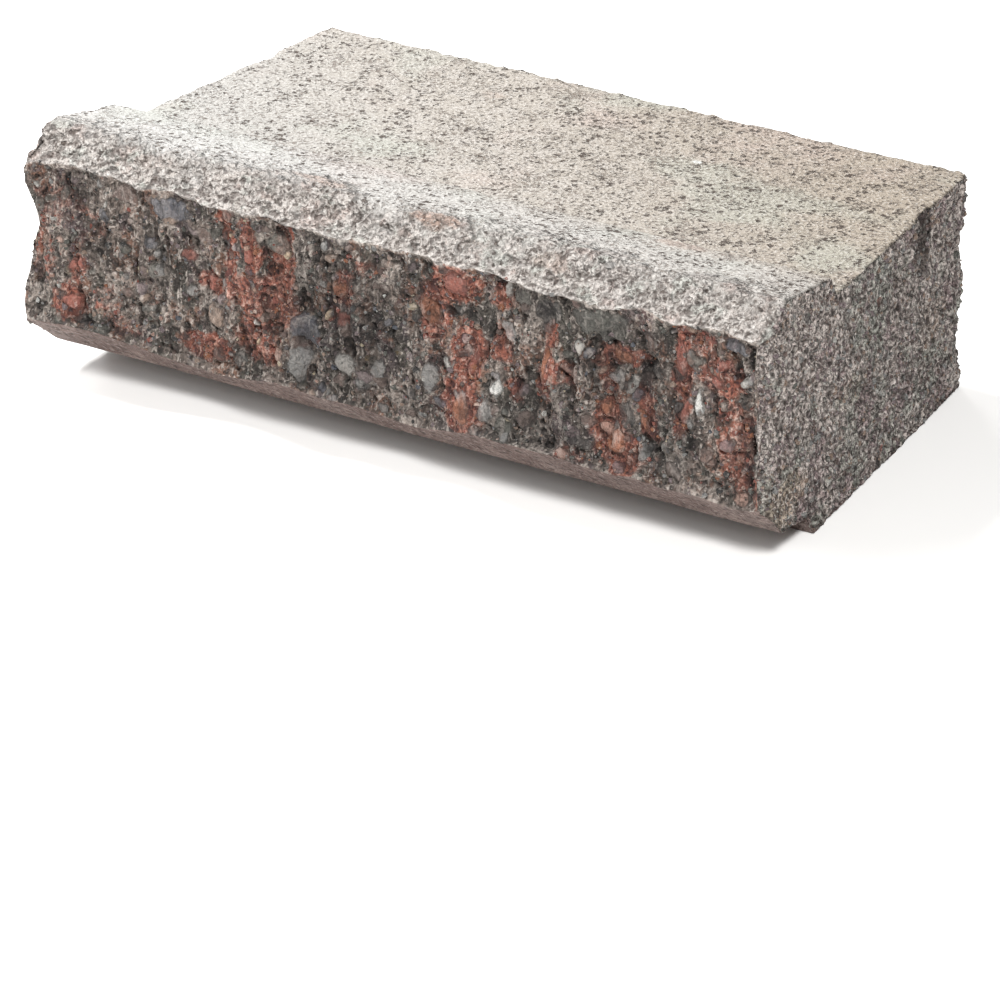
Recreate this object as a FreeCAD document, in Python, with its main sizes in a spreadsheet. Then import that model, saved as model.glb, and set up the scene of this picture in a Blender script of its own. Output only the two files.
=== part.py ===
# Retaining wall block: one piece of dry-cast concrete with a split front, tapered sides, a raised lip
# along the front of its top and a matching rebate along the front of its underside. The lip of one
# course stops the rebate of the next, which sets each course back from the one below.
#
# Frame: X runs along the split face, +Y from the split face to the back, +Z up. The origin is at the
# middle of the box that the block fills, on the floor. All lengths are in millimetres. The sketches
# are drawn from the foremost point of the split face, and the block is moved to the origin at the end.

import FreeCAD, Part
import math
import os

import Sketcher

doc = FreeCAD.newDocument("retaining_wall_block")

# Driving sizes: name, value, what it is
sizes = [
    ("frontWidth", 370, "side to side where the two tapered sides meet the split plane"),
    ("blockDepth", 209, "foremost point of the split face to the back"),
    ("courseHeight", 100, "lower bed to upper bed, the height that one course adds"),
    ("sideTaper", 6, "degrees that each side turns in towards the back"),
    ("rearCorner", 4, "radius of the upright corners at the back"),
    ("frontCorner", 16, "radius of the broken corners beside the split face"),
    ("lipBack", 64, "foremost point to the back edge of the lip"),
    ("lipRise", 10, "height of the lip's back edge above the upper bed"),
    ("lipSlope", 10, "degrees that the lip's top falls towards the back"),
    ("crownRadius", 10, "radius of the lip's crown"),
    ("edgeRadius", 1.5, "radius of the lip's back edge"),
    ("stepRun", 5.7, "how far the step behind the lip leans, for its draft"),
    ("setback", 19, "how far the next course stands back"),
    ("bevelAngle", 45, "degrees of the moulded bevel above the split face"),
    ("bevelDrop", 6, "lip's back edge down to the split face's upper edge"),
    ("chamferAngle", 45, "degrees of the moulded chamfer below the split face"),
    ("chamferRise", 20, "rebate's back edge up to the split face's lower edge"),
    ("splitRelief", 6, "deepest hollow of the split face to its highest ridge"),
    ("notchInset", 47, "back of the block to the middle of the side notches"),
    ("notchOutset", 2, "side of the block out to the axis of its notch"),
    ("notchRadius", 7, "radius of a side notch at the upper bed"),
    ("notchTip", 3, "radius of a side notch at its lower end"),
    ("notchLength", 27, "length of a side notch, down from the upper bed"),
    ("cutSpare", 3, "how far the cutting shapes run past the block"),
]
sheet = doc.addObject("Spreadsheet::Sheet", "Sizes")
for row, (name, value, note) in enumerate(sizes, 1):
    sheet.set(f"A{row}", name)
    sheet.set(f"B{row}", str(value))
    sheet.setAlias(f"B{row}", name)
    sheet.set(f"C{row}", note)
doc.recompute()

# The split face's ridges: length across in mm, share of the relief, phase in turns, lean across per mm up
splitWaves = [
    (173.0, 0.26, 0.10, 0.35),
    (89.0, 0.24, 0.62, -0.30),
    (53.0, 0.26, 0.31, 0.22),
    (34.0, 0.24, 0.87, -0.12),
]
bendLength = 120.0    # height over which the ridges bend once to and fro
bendWidth = 5.0       # how far they bend to each side
gridAcross = 8.5      # spacing of the points that the split surface passes through
gridUp = 17.0
rangeSamples = 160    # samples each way when the highest ridge and deepest hollow are looked for

upright = 0.99        # part of an edge's direction that counts as along an axis
nearby = 0.01         # mm between an edge and the line it is looked for on


def size(name):
    return float(sheet.get(name))


def evaluate(owner, expression):
    result = owner.evalExpression(expression)
    return float(getattr(result, "Value", result))


def originPlane(body, role):
    return [item for item in body.Origin.OriginFeatures if item.Role == role][0]


def addSketch(body, name, role):
    sketch = body.newObject("Sketcher::SketchObject", name)
    sketch.AttachmentSupport = [(originPlane(body, role), "")]
    sketch.MapMode = "FlatFace"
    return sketch


def addOutline(sketch, corners):
    # closed outline of straight lines, with each corner pinned by two expressions
    places = [FreeCAD.Vector(evaluate(sketch, first), evaluate(sketch, second), 0)
              for first, second in corners]
    count = len(places)
    for i in range(count):
        sketch.addGeometry(Part.LineSegment(places[i], places[(i + 1) % count]), False)
    for i in range(count):
        sketch.addConstraint(Sketcher.Constraint("Coincident", i, 2, (i + 1) % count, 1))
    for i, (first, second) in enumerate(corners):
        pins = (("DistanceX", first, places[i].x), ("DistanceY", second, places[i].y))
        for kind, expression, value in pins:
            index = sketch.addConstraint(Sketcher.Constraint(kind, -1, 1, i, 1, value))
            sketch.renameConstraint(index, f"{kind}{i}")
            sketch.setExpression(f"Constraints.{kind}{i}", expression)


def edgesWhere(feature, test):
    # names of the edges whose middle point and direction pass the test
    names = []
    for number, edge in enumerate(feature.Shape.Edges, 1):
        halfway = (edge.FirstParameter + edge.LastParameter) / 2
        if test(edge.valueAt(halfway), edge.tangentAt(halfway)):
            names.append(f"Edge{number}")
    return names


def addFillet(body, name, base, test, radius):
    doc.recompute()
    fillet = body.newObject("PartDesign::Fillet", name)
    fillet.Base = (base, edgesWhere(base, test))
    fillet.setExpression("Radius", radius)
    return fillet


def addCut(body, name, sketch):
    # pocket that runs right through the block from side to side
    pocket = body.newObject("PartDesign::Pocket", name)
    pocket.Profile = sketch
    pocket.SideType = "Symmetric"
    pocket.setExpression("Length", "2 * Sizes.frontWidth")
    return pocket


# The cast block, before its front is split off
cast = doc.addObject("PartDesign::Body", "Cast")
cast.Label = "cast_block"

# Plan: sides that turn in towards the back, and a strip in front that the splitting takes off
halfFront = "(Sizes.frontWidth / 2 + Sizes.cutSpare * tan(Sizes.sideTaper))"
halfBack = "(Sizes.frontWidth / 2 - Sizes.blockDepth * tan(Sizes.sideTaper))"
bevelRise = "tan(Sizes.bevelAngle)"
lipFall = "tan(Sizes.lipSlope)"
lipStart = f"(Sizes.courseHeight + Sizes.lipRise + Sizes.lipBack * {lipFall})"
plan = addSketch(cast, "Plan", "XY_Plane")
addOutline(plan, [
    ("-" + halfFront, "-Sizes.cutSpare"),
    (halfFront, "-Sizes.cutSpare"),
    (halfBack, "Sizes.blockDepth"),
    ("-" + halfBack, "Sizes.blockDepth"),
])
blank = cast.newObject("PartDesign::Pad", "Blank")
blank.Profile = plan
blank.setExpression("Length", f"{lipStart} + Sizes.cutSpare")

rearCorners = addFillet(cast, "RearCorners", blank,
                        lambda place, along: abs(along.z) > upright and place.y > size("blockDepth") / 2,
                        "Sizes.rearCorner")
frontCorners = addFillet(cast, "FrontCorners", rearCorners,
                         lambda place, along: abs(along.z) > upright and place.y < 0,
                         "Sizes.frontCorner")

# Side view, top: bevel above the split face, lip that falls towards the back, step, upper bed
splitTop = "(Sizes.courseHeight + Sizes.lipRise - Sizes.bevelDrop)"
bevelStart = f"({splitTop} - Sizes.splitRelief / 2 * {bevelRise})"
crownPlace = f"(({lipStart} - {bevelStart}) / ({bevelRise} + {lipFall}))"
aboveAll = f"({lipStart} + 2 * Sizes.cutSpare)"
topLine = addSketch(cast, "TopLine", "YZ_Plane")
addOutline(topLine, [
    ("-2 * Sizes.cutSpare", aboveAll),
    ("-2 * Sizes.cutSpare", f"{bevelStart} - 2 * Sizes.cutSpare * {bevelRise}"),
    (crownPlace, f"{bevelStart} + {crownPlace} * {bevelRise}"),
    ("Sizes.lipBack", "Sizes.courseHeight + Sizes.lipRise"),
    ("Sizes.lipBack + Sizes.stepRun", "Sizes.courseHeight"),
    ("Sizes.blockDepth + Sizes.cutSpare", "Sizes.courseHeight"),
    ("Sizes.blockDepth + Sizes.cutSpare", aboveAll),
])
topCut = addCut(cast, "TopCut", topLine)

# Side view, underside: chamfer below the split face, sloping ceiling of the rebate, step, lower bed.
# The rebate has the lip's own slope and step, moved forward by the setback.
rebateBack = "(Sizes.lipBack - Sizes.setback)"
chamferFall = "tan(Sizes.chamferAngle)"
splitFoot = "(Sizes.lipRise + Sizes.chamferRise)"
chamferStart = f"({splitFoot} + Sizes.splitRelief / 2 * {chamferFall})"
ceilingStart = f"(Sizes.lipRise + {rebateBack} * {lipFall})"
chamferPlace = f"(({chamferStart} - {ceilingStart}) / ({chamferFall} - {lipFall}))"
underLine = addSketch(cast, "UnderLine", "YZ_Plane")
addOutline(underLine, [
    ("-2 * Sizes.cutSpare", "-Sizes.cutSpare"),
    ("-2 * Sizes.cutSpare", f"{chamferStart} + 2 * Sizes.cutSpare * {chamferFall}"),
    (chamferPlace, f"{chamferStart} - {chamferPlace} * {chamferFall}"),
    (rebateBack, "Sizes.lipRise"),
    (f"{rebateBack} + Sizes.stepRun", "0"),
    (f"{rebateBack} + Sizes.stepRun", "-Sizes.cutSpare"),
])
underCut = addCut(cast, "UnderCut", underLine)

# The crown and the back edge of the lip
crown = addFillet(cast, "Crown", underCut,
                  lambda place, along: abs(along.x) > upright and place.z > size("courseHeight")
                  and abs(place.y - evaluate(topLine, crownPlace)) < nearby, "Sizes.crownRadius")
lipEdge = addFillet(cast, "LipEdge", crown,
                    lambda place, along: abs(along.x) > upright and place.z > size("courseHeight")
                    and abs(place.y - size("lipBack")) < nearby, "Sizes.edgeRadius")

# Side notches: each is the inner part of a cone that narrows downwards from the upper bed
notchPlace = "(Sizes.blockDepth - Sizes.notchInset)"
notch = cast.newObject("PartDesign::SubtractiveCone", "Notch")
notch.AttachmentSupport = [(originPlane(cast, "XY_Plane"), "")]
notch.MapMode = "FlatFace"
notch.setExpression("AttachmentOffset.Base.x",
                    f"Sizes.frontWidth / 2 - {notchPlace} * tan(Sizes.sideTaper) + Sizes.notchOutset")
notch.setExpression("AttachmentOffset.Base.y", notchPlace)
notch.setExpression("AttachmentOffset.Base.z", "Sizes.courseHeight - Sizes.notchLength")
notch.setExpression("Radius1", "Sizes.notchTip")
notch.setExpression("Radius2", "Sizes.notchRadius")
notch.setExpression("Height", "Sizes.notchLength")
doc.recompute()
notchPair = cast.newObject("PartDesign::Mirrored", "NotchPair")
notchPair.Originals = [notch]
notchPair.MirrorPlane = (originPlane(cast, "YZ_Plane"), [""])
cast.Tip = notchPair
doc.recompute()


def splitWave(across, up):
    # the split face's height: upright ridges of uneven width, which lean and bend as they rise
    bend = bendWidth * math.sin(2 * math.pi * up / bendLength)
    return sum(share * math.sin(2 * math.pi * ((across + bend + lean * up) / length + phase))
               for length, share, phase, lean in splitWaves)


def evenly(start, end, steps):
    return [start + (end - start) * i / steps for i in range(steps + 1)]


def splitCutter():
    # all that lies in front of the split face: a smooth surface through a grid of points, pushed forward
    halfWidth = size("frontWidth") / 2
    heights = [splitWave(x, z) for x in evenly(-halfWidth, halfWidth, rangeSamples)
               for z in evenly(evaluate(sheet, splitFoot), evaluate(sheet, splitTop), rangeSamples)]
    high, low = max(heights), min(heights)
    reach = halfWidth + 2 * gridAcross
    top = evaluate(sheet, aboveAll) + gridUp
    columns = evenly(-reach, reach, math.ceil(2 * reach / gridAcross))
    rows = evenly(-gridUp, top, math.ceil((top + gridUp) / gridUp))
    surface = Part.BSplineSurface()
    surface.interpolate([[
        FreeCAD.Vector(x, size("splitRelief") * (high - splitWave(x, z)) / (high - low), z)
        for z in rows] for x in columns])
    return surface.toShape().extrude(FreeCAD.Vector(0, -size("splitRelief") - 4 * size("cutSpare"), 0))


splitOff = doc.addObject("Part::Feature", "SplitOff")
splitOff.Label = "split_off"
splitOff.Shape = splitCutter()

block = doc.addObject("Part::Cut", "Block")
block.Label = "block"
block.Base = cast
block.Tool = splitOff
block.Refine = False
block.setExpression("Placement.Base.y", "-Sizes.blockDepth / 2")
doc.recompute()

for item in doc.Objects:
    if "Invalid" in item.State or "Error" in item.State:
        raise RuntimeError(f"{item.Label} did not compute: {item.State}")
if block.Shape.isNull() or not block.Shape.isValid() or len(block.Shape.Solids) != 1:
    raise RuntimeError("the block is not one sound solid")

box = block.Shape.optimalBoundingBox(False, False)
print(f"block: {box.XLength:.2f} x {box.YLength:.2f} x {box.ZLength:.2f} mm, "
      f"{block.Shape.Volume / 1e6:.3f} litres, {len(block.Shape.Faces)} faces")

os.makedirs("parts", exist_ok=True)
block.Shape.exportStep("parts/" + block.Label + ".step")
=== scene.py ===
import itertools
import math

import bpy
import numpy as np
from mathutils import Matrix, Vector


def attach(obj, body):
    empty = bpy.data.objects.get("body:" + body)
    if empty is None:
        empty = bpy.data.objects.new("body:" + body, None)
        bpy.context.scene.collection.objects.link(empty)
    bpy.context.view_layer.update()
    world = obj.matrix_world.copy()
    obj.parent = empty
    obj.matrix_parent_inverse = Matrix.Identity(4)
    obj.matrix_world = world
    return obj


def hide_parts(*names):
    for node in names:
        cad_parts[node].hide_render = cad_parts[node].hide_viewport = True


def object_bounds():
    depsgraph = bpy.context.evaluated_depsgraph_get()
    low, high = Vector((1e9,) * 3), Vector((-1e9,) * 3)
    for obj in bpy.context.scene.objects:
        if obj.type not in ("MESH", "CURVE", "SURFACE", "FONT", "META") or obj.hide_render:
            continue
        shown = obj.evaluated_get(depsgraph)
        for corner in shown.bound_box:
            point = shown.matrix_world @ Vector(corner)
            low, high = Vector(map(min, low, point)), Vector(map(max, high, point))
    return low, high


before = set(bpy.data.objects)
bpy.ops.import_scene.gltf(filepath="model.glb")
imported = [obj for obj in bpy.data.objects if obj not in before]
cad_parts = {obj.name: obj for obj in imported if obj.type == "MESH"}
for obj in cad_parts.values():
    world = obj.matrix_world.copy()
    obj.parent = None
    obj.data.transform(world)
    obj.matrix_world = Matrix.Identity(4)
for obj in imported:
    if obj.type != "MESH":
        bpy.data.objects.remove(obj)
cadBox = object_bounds()
mm = 0.001


# How the block was photographed: from the front right, a little above, through a long lens. The lens here
# is a twentieth wider, so that the far corner isn't cut off.
view = {
    "azimuth": 32.635,        # degrees round from straight in front
    "elevation": 26.190,      # degrees above level
    "roll": -0.408,           # degrees that the camera leans
    "place": (1.189948, -1.869986, 1.037310),   # metres
    "pixelsFocal": 5674.0,    # focal length in pixels of the square picture
    "pixelsWide": 1000,
    "sensor": 36.0,           # width in millimetres
    "nearest": 0.05,          # metres, nothing nearer is drawn
}

studio = {
    "floorColour": "#f4f3f1",
    "floorReach": 6.0,        # metres from the block to the floor's edges
    "worldStrength": 0.25,
    "aim": (0, 0, 0.05),      # where the soft boxes point
    # soft boxes: power in watts, width, place
    "key": (45.0, 0.50, (-0.90, -0.10, 1.40)),     # above, from the left
    "fill": (15.0, 0.80, (-1.20, -1.50, 1.00)),    # at the front left
    "side": (42.0, 0.35, (1.02, -1.05, 1.35)),     # it grazes the front and the right side
    "back": (16.0, 0.50, (-1.15, 1.15, 0.30)),     # low, for the back and the left side
}


def hexToLinear(text):
    # sRGB hex colour to the linear values that shaders take
    values = np.array([int(text[i:i + 2], 16) for i in (1, 3, 5)]) / 255
    linear = np.where(values <= 0.04045, values / 12.92, ((values + 0.055) / 1.055) ** 2.4)
    return (*linear.tolist(), 1.0)


def addNode(tree, kind, inputs=None, **settings):
    # one node of a kind: settings are its own properties, inputs are values or sockets for its inputs
    node = tree.nodes.new("ShaderNode" + kind)
    for name, value in settings.items():
        setattr(node, name, value)
    for key, value in (inputs or {}).items():
        if isinstance(value, bpy.types.NodeSocket):
            tree.links.new(value, node.inputs[key])
        else:
            node.inputs[key].default_value = value
    return node


def newMaterial(name):
    # empty material and its node tree
    material = bpy.data.materials.new(name)
    material.use_nodes = True
    material.node_tree.nodes.clear()
    return material, material.node_tree


def smooth(low, high, value):
    # 0 below low, 1 above high, and an even S between
    part = np.clip((value - low) / (high - low), 0, 1)
    return part * part * (3 - 2 * part)


# Camera
azimuth, elevation, roll = (math.radians(view[key]) for key in ("azimuth", "elevation", "roll"))
looking = Vector((-math.sin(azimuth) * math.cos(elevation), math.cos(azimuth) * math.cos(elevation),
                  -math.sin(elevation)))
levelRight = Vector((math.cos(azimuth), math.sin(azimuth), 0))
levelUp = levelRight.cross(looking)
right = math.cos(roll) * levelRight + math.sin(roll) * levelUp
up = math.cos(roll) * levelUp - math.sin(roll) * levelRight
lens = bpy.data.cameras.new("camera")
lens.sensor_width = view["sensor"]
lens.lens = view["pixelsFocal"] / view["pixelsWide"] * view["sensor"]
lens.clip_start = view["nearest"]
camera = bpy.data.objects.new("camera", lens)
bpy.context.scene.collection.objects.link(camera)
turned = Matrix((right, up, -looking)).transposed().to_4x4()
camera.matrix_world = Matrix.Translation(view["place"]) @ turned
bpy.context.scene.camera = camera
print("camera placed")


# Floor and lights
def addSoftBox(name, power, width, place):
    # square area light that faces the block, and that the camera doesn't see
    lamp = bpy.data.lights.new(name, "AREA")
    lamp.energy = power
    lamp.size = width
    holder = bpy.data.objects.new(name, lamp)
    bpy.context.scene.collection.objects.link(holder)
    holder.location = place
    holder.rotation_euler = (Vector(studio["aim"]) - Vector(place)).to_track_quat("-Z", "Y").to_euler()
    holder.visible_camera = False


for lampName in ("key", "fill", "side", "back"):
    addSoftBox(lampName + "_light", *studio[lampName])
world = bpy.data.worlds.new("studio")
world.use_nodes = True
background = world.node_tree.nodes["Background"]
background.inputs["Color"].default_value = (1, 1, 1, 1)
background.inputs["Strength"].default_value = studio["worldStrength"]
bpy.context.scene.world = world
bpy.context.scene.view_settings.view_transform = "Standard"

floorMesh = bpy.data.meshes.new("floor")
reach = studio["floorReach"]
floorMesh.from_pydata([(-reach, -reach, 0), (reach, -reach, 0), (reach, reach, 0), (-reach, reach, 0)], [],
                      [(0, 1, 2, 3)])
floor = bpy.data.objects.new("floor", floorMesh)
bpy.context.scene.collection.objects.link(floor)
paper, paperTree = newMaterial("pale_paper")
paperShader = addNode(paperTree, "BsdfPrincipled", {"Base Color": hexToLinear(studio["floorColour"]),
                                                    "Roughness": 0.9})
addNode(paperTree, "OutputMaterial", {"Surface": paperShader.outputs["BSDF"]})
floorMesh.materials.append(paper)
print("studio ready")


# Patterns in space, worked out for whole arrays of points
def cloud(points, size, seed, stretch=(1, 1, 1)):
    # gradient noise, about -1 to 1: a random slope at each corner of cubes of that size, and the heights
    # that the eight slopes give at a point, blended by the fade 6t^5 - 15t^4 + 10t^3 along each axis
    slopes = np.random.default_rng(seed).normal(size=(32, 32, 32, 3)).astype(np.float32)
    cell = points / (size * np.array(stretch)) + 100.5
    low = np.floor(cell).astype(np.int32)
    part = (cell - low).astype(np.float32)
    fade = part ** 3 * (part * (6 * part - 15) + 10)
    height = np.zeros(len(points), np.float32)
    for corner in itertools.product((0, 1), repeat=3):
        at = (low + corner) % 32
        weight = np.prod(np.where(corner, fade, 1 - fade), axis=1)
        height += weight * np.einsum("ij,ij->i", slopes[at[:, 0], at[:, 1], at[:, 2]], part - corner)
    return height


def clouds(points, layers, folded=False):
    # clouds added up, each given by its height, size, seed and upright stretch; a folded one has its sign
    # taken away, which turns its zero lines into sharp valleys
    parts = [(height, cloud(points, size, seed, (1, 1, rise))) for height, size, seed, rise in layers]
    return sum(height * (np.abs(part) if folded else part) for height, part in parts)


# The block. Its form repeats the CAD part's sizes, and its relief is cut into that form.
form = {
    "frontWidth": 370.0, "sideTaper": 6.0,
    "splitPlane": 3.0,        # mean plane of the split face, behind its foremost point
    "rearCorner": 4.0, "frontCorner": 16.0,
    "cornerStart": -3.0,      # where the front corners' arcs start, before the face
    "courseHeight": 100.0, "lipBack": 64.0, "lipRise": 10.0, "lipSlope": 10.0, "crownRadius": 10.0,
    "stepRun": 5.7, "setback": 19.0, "bevelDrop": 6.0, "chamferRise": 20.0,
    # notch in the top of each side: place before the back, middle beyond the side, radius at top and tip
    "notchInset": 47.0, "notchOutset": 2.0, "notchRadius": 7.0, "notchTip": 3.0, "notchLength": 27.0,
    # the split face's upright ridges: length, share, phase and lean of each wave
    "splitWaves": ((173.0, 0.26, 0.10, 0.35), (89.0, 0.24, 0.62, -0.30),
                   (53.0, 0.26, 0.31, 0.22), (34.0, 0.24, 0.87, -0.12)),
    "splitRelief": 6.0, "bendLength": 120.0, "bendWidth": 5.0,
    # clouds that break the face and its upper edge: height, size, seed and upright stretch
    "brokenRidges": (3.4, 19, 11, 2.2),
    "brokenLumps": ((2.6, 10, 12, 1.8),),
    "upperEdge": ((1.7, 15, 13, 1), (0.6, 5, 14, 1)),
    # how far the split face's lower edge lies behind the split plane, along the face
    "footPlaces": (-184, -165, -144, -132, -111, -90, -76, -61, -48, -35, -16, 0, 12, 28, 45, 88, 106, 122,
                   134, 149, 166, 184),
    "footDepths": (0, -2, -2.6, 0, 4.5, 7.6, 5, 0.5, 0.1, 3, 1.2, 4.3, 6.5, 2, -1.8, -1.5, 0.7, -1.6, 1,
                   -0.7, 2.5, -1),
    # broken places: middle, reach along each axis, and the way the form is pushed in there
    "breaks": (((-181, -98, 38), (13, 15, 15), (-4.0, -3.0, 0)),
               ((-181, -98, 98), (13, 15, 9), (-1.5, -1.0, 0)),
               ((-184, -98, 74), (13, 15, 8), (3.5, 0.8, 0)),
               ((-186, -94, 112), (14, 14, 9), (2.2, 0.6, -2.2)),
               ((-182, -60, 106), (9, 13, 10), (2.0, 0, -1.0)),
               ((186, -103, 92), (9, 9, 13), (-2.5, 2.0, 0)),
               ((186, -103, 44), (9, 9, 10), (-2.0, 1.5, 0)),
               ((164, 106, 66), (8, 8, 9), (-2.6, -1.5, 0)),
               ((164, 106, 25), (8, 8, 12), (-2.4, -1.5, 0))),
    "cornerWrap": 5.0,        # the sides' rough surface reaches this far round onto the front
    "topReach": 5.0,          # the top's stones reach this far down below the upper bed
    "splitFade": 45.0,        # how far back the split face's own shape moves the rows behind it
    "sharpest": 0.6,          # how far a point of the grid may stand out from its neighbours
    "smoothing": 3,           # rounds of drawing such points back
    "gridStep": 0.75,
    "mostTriangles": 197000,
}
front = cadBox[0][1] / mm
back = cadBox[1][1] / mm
splitY = front + form["splitPlane"]
halfFront = form["frontWidth"] / 2
taper = math.tan(math.radians(form["sideTaper"]))
course = form["courseHeight"]
splitTop = course + form["lipRise"] - form["bevelDrop"]
splitFoot = form["lipRise"] + form["chamferRise"]
halfHeight = 60.0             # it parts what faces up from what faces down


def lineTurn(corner, radius, first, last, steps):
    # arc that rounds a corner, between the outward directions first and last in degrees from straight up
    turn = np.radians(np.linspace(first, last, steps))
    ends = np.radians([first, last])
    ways = np.stack([np.sin(ends), np.cos(ends)], 1)
    middle = corner - radius * ways.sum(0) / (1 + ways[0] @ ways[1])
    return middle + radius * np.stack([np.sin(turn), np.cos(turn)], 1)


def topProfile():
    # side view of the top, front to back: bevel at 45 degrees, crown arc, lip that falls, step, upper bed
    lipEnd = front + form["lipBack"]
    lipTop = course + form["lipRise"]
    fall = math.tan(math.radians(form["lipSlope"]))
    crownY = (lipTop + lipEnd * fall - splitTop + splitY) / (1 + fall)
    corner = np.array([crownY, splitTop + crownY - splitY])
    crown = lineTurn(corner, form["crownRadius"], -45, form["lipSlope"], 9)
    return np.array([(splitY - 40, splitTop - 40), *crown, (lipEnd - 0.8, lipTop + 0.8 * fall),
                     (lipEnd + 0.3, lipTop - 0.6), (lipEnd + form["stepRun"], course), (back + 5, course)])


def underProfile():
    # side view of the underside: chamfer at 45 degrees, sloping ceiling of the rebate, step, lower bed
    rebateEnd = front + form["lipBack"] - form["setback"]
    fall = math.tan(math.radians(form["lipSlope"]))
    cornerY = (splitFoot + splitY - form["lipRise"] - rebateEnd * fall) / (1 - fall)
    cornerZ = splitFoot + splitY - cornerY
    return np.array([(splitY - 40, splitFoot + 40), (cornerY, cornerZ), (rebateEnd, form["lipRise"]),
                     (rebateEnd + form["stepRun"], 0), (back + 5, 0)])


topLine = topProfile()
underLine = underProfile()


def roundCorners(x, y):
    # in plan, points outside the arc of a front or rear corner are drawn in onto it
    normal = np.stack([np.zeros_like(x), np.where(y < 0, -1.0, 1.0)], 1)
    for place, radius, way in ((front + form["cornerStart"] + form["frontCorner"], form["frontCorner"], -1),
                               (back - form["rearCorner"], form["rearCorner"], 1)):
        middle = (halfFront - (place - front) * taper - radius / math.cos(math.atan(taper)))
        across, along = np.abs(x) - middle, y - place
        away = np.hypot(across, along)
        outside = (across > 0) & (way * (along - across * taper) > 0)
        pull = outside & (away > radius)
        share = np.where(pull, radius / np.maximum(away, 1e-6), 1)
        sector = outside & (away >= radius * 0.999)
        normal[sector] = np.stack([np.sign(x) * across, along], 1)[sector] / away[sector, None]
        x = np.where(pull, np.sign(x) * (middle + across * share), x)
        y = np.where(pull, place + along * share, y)
    return x, y, normal


def splitWave(across, rise):
    # upright ridges of uneven width that lean and bend as they rise, as in the CAD part
    bend = form["bendWidth"] * np.sin(2 * np.pi * rise / form["bendLength"])
    return sum(share * np.sin(2 * np.pi * ((across + bend + lean * rise) / length + phase))
               for length, share, phase, lean in form["splitWaves"])


def splitShape(x, z, share):
    # how far the split face lies behind its mean plane: waves and broken ridges in its middle, which fade
    # towards its upper edge, and the given depths along its lower edge
    points = np.stack([x, np.zeros_like(x), z], 1)
    waves = form["splitRelief"] * (0.5 - 0.5 * splitWave(x, z) / 0.85)
    ridgeHeight, ridgeSize, ridgeSeed, ridgeRise = form["brokenRidges"]
    ridges = ridgeHeight * (1 - 2.2 * np.abs(cloud(points, ridgeSize, ridgeSeed, (1, 1, ridgeRise))))
    broken = ridges + clouds(points, form["brokenLumps"])
    inner = (1 - (1 - share) ** 3) * (1 - share ** 6)
    edge = clouds(points, form["upperEdge"])
    foot = np.interp(x, form["footPlaces"], form["footDepths"])
    return inner * (waves - 2.4 + broken) + (1 - share) ** 3 * foot + share ** 6 * edge + 0.25


def boxSurface(columns, rows, layers):
    # the six sides of a box of grid cells as one closed surface: (column, row, layer) of each point, and
    # four-sided faces that point outwards
    counts = (columns, rows, layers)
    places, faces, start = [], [], 0
    for axis, end in itertools.product(range(3), (0, 1)):
        first, second = [a for a in range(3) if a != axis]
        a, b = np.meshgrid(np.arange(counts[first] + 1), np.arange(counts[second] + 1), indexing="ij")
        grid = np.zeros((*a.shape, 3), np.int64)
        grid[..., axis], grid[..., first], grid[..., second] = end * counts[axis], a, b
        index = np.arange(a.size).reshape(a.shape) + start
        quads = np.stack([index[:-1, :-1], index[1:, :-1], index[1:, 1:], index[:-1, 1:]], -1)
        quads = quads.reshape(-1, 4)
        faces.append(quads if (end == 1) == (axis != 1) else quads[:, ::-1])
        places.append(grid.reshape(-1, 3))
        start += a.size
    places = np.concatenate(places)
    keys = (places[:, 0] * (rows + 1) + places[:, 1]) * (layers + 1) + places[:, 2]
    _, kept, renumbered = np.unique(keys, return_index=True, return_inverse=True)
    return places[kept], renumbered[np.concatenate(faces)]


def sumAt(indices, values, count):
    # rows of values added up at the point that each one's index names
    return np.stack([np.bincount(indices, column, count) for column in values.T], 1)


def pointNormals(points, quads):
    # each point's normal: the sum of its faces' normals by area, made one long
    corners = points[quads]
    faceNormals = np.cross(corners[:, 2] - corners[:, 0], corners[:, 3] - corners[:, 1])
    normals = sumAt(quads.ravel(), np.repeat(faceNormals, 4, axis=0), len(points))
    return normals / np.linalg.norm(normals, axis=1, keepdims=True)


def calmSpikes(points, quads, most, rounds):
    # a point farther than the most from the mean of its four neighbours is drawn back to that distance
    start, end = quads.ravel(), np.roll(quads, -1, axis=1).ravel()
    counts = np.bincount(start, minlength=len(points))[:, None]
    for _ in range(rounds):
        means = sumAt(start, points[end], len(points)) / counts
        away = points - means
        far = np.linalg.norm(away, axis=1, keepdims=True)
        points = means + away * np.minimum(1, most / np.maximum(far, 1e-6))
    return points


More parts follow.
